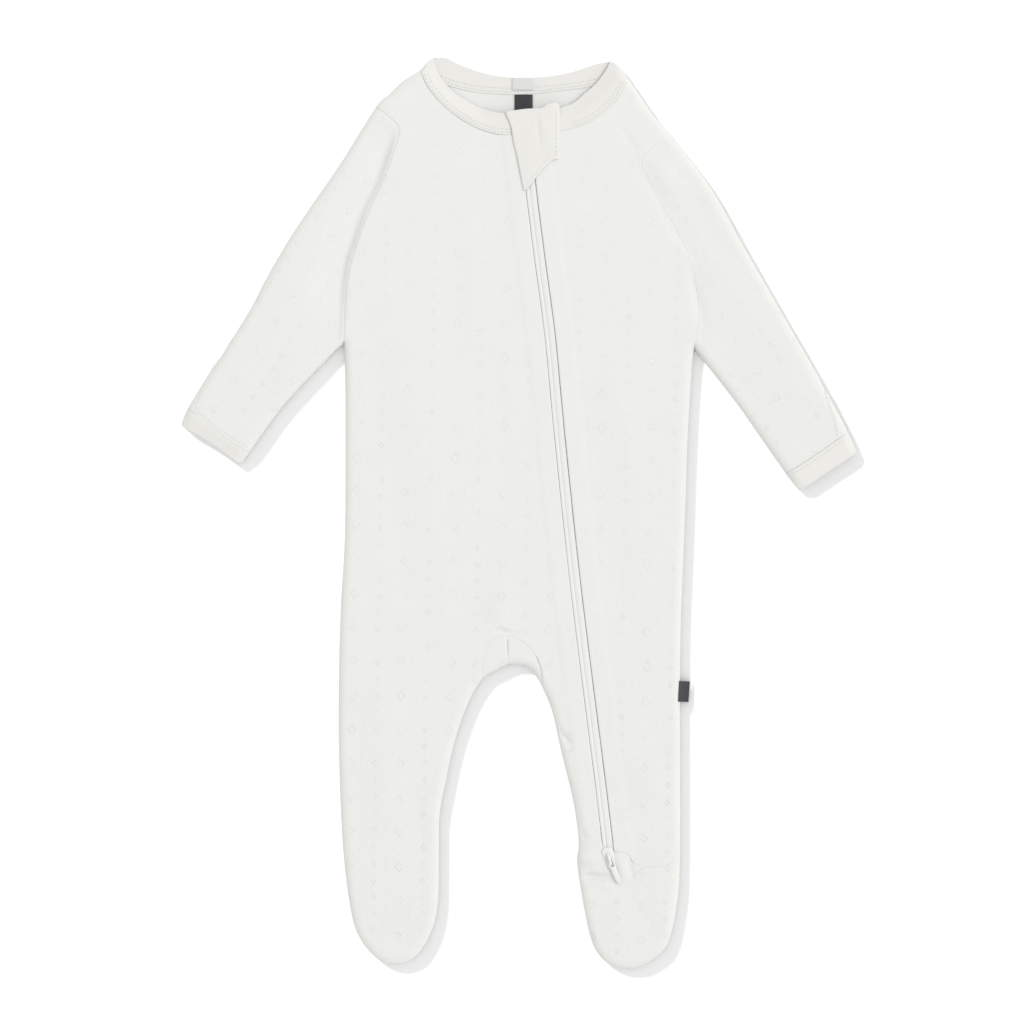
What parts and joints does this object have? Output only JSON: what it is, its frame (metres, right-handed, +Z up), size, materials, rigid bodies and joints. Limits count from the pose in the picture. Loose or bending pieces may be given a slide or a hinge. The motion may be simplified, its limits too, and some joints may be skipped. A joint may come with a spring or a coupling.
{
  "type": "footed baby sleepsuit",
  "caption": "Footed baby sleepsuit laid flat: long sleeves with fold-over mitten strips, crew neckband, crotch gusset and a slanting zip from neck to left ankle.",
  "frame": {"origin": "on the table under the middle of the whole garment", "axes": "+X towards the wearer's left, +Y from the feet to the neck, +Z up off the table"},
  "size_m": [0.4188, 0.5648, 0.01],
  "materials": {
    "cloth": "fine pointelle jersey, matt, ivory",
    "binding": "doubled plain jersey, matt, ivory",
    "zip_tape": "fine woven tape, white",
    "zip_coil": "nylon coil, white",
    "zip_metal": "white enamel on die-cast zinc",
    "label_black": "black woven satin, bare",
    "label_grey": "pale grey woven satin, bare"
  },
  "bodies": {
    "garment": {"back": "cloth", "front_right": "cloth", "front_left": "cloth", "foot_left": "cloth", "sole_right": "cloth", "sole_left": "cloth", "gusset_right": "cloth", "gusset_left": "cloth", "sleeve_right": "cloth", "sleeve_left": "cloth", "cuff_right": "binding", "cuff_left": "binding", "mitten_right": "cloth", "mitten_left": "cloth", "neckband": "binding", "zip_tape_right": "zip_tape", "zip_tape_left": "zip_tape", "zip_coil": "zip_coil", "zip_guard": "binding", "label_size": "label_grey", "label_neck": "label_black", "label_side": "label_black", "zip_slider": "zip_metal"},
    "pull_tab": {"zip_pull": "zip_metal"}
  },
  "joints": [
    {"name": "pull_hinge", "type": "hinge", "parent": "garment", "child": "pull_tab", "pos_m": [0.05564, -0.21428, 0.0084], "axis": [-0.9703, -0.2419, 0], "range_deg": [0, 165]}
  ]
}
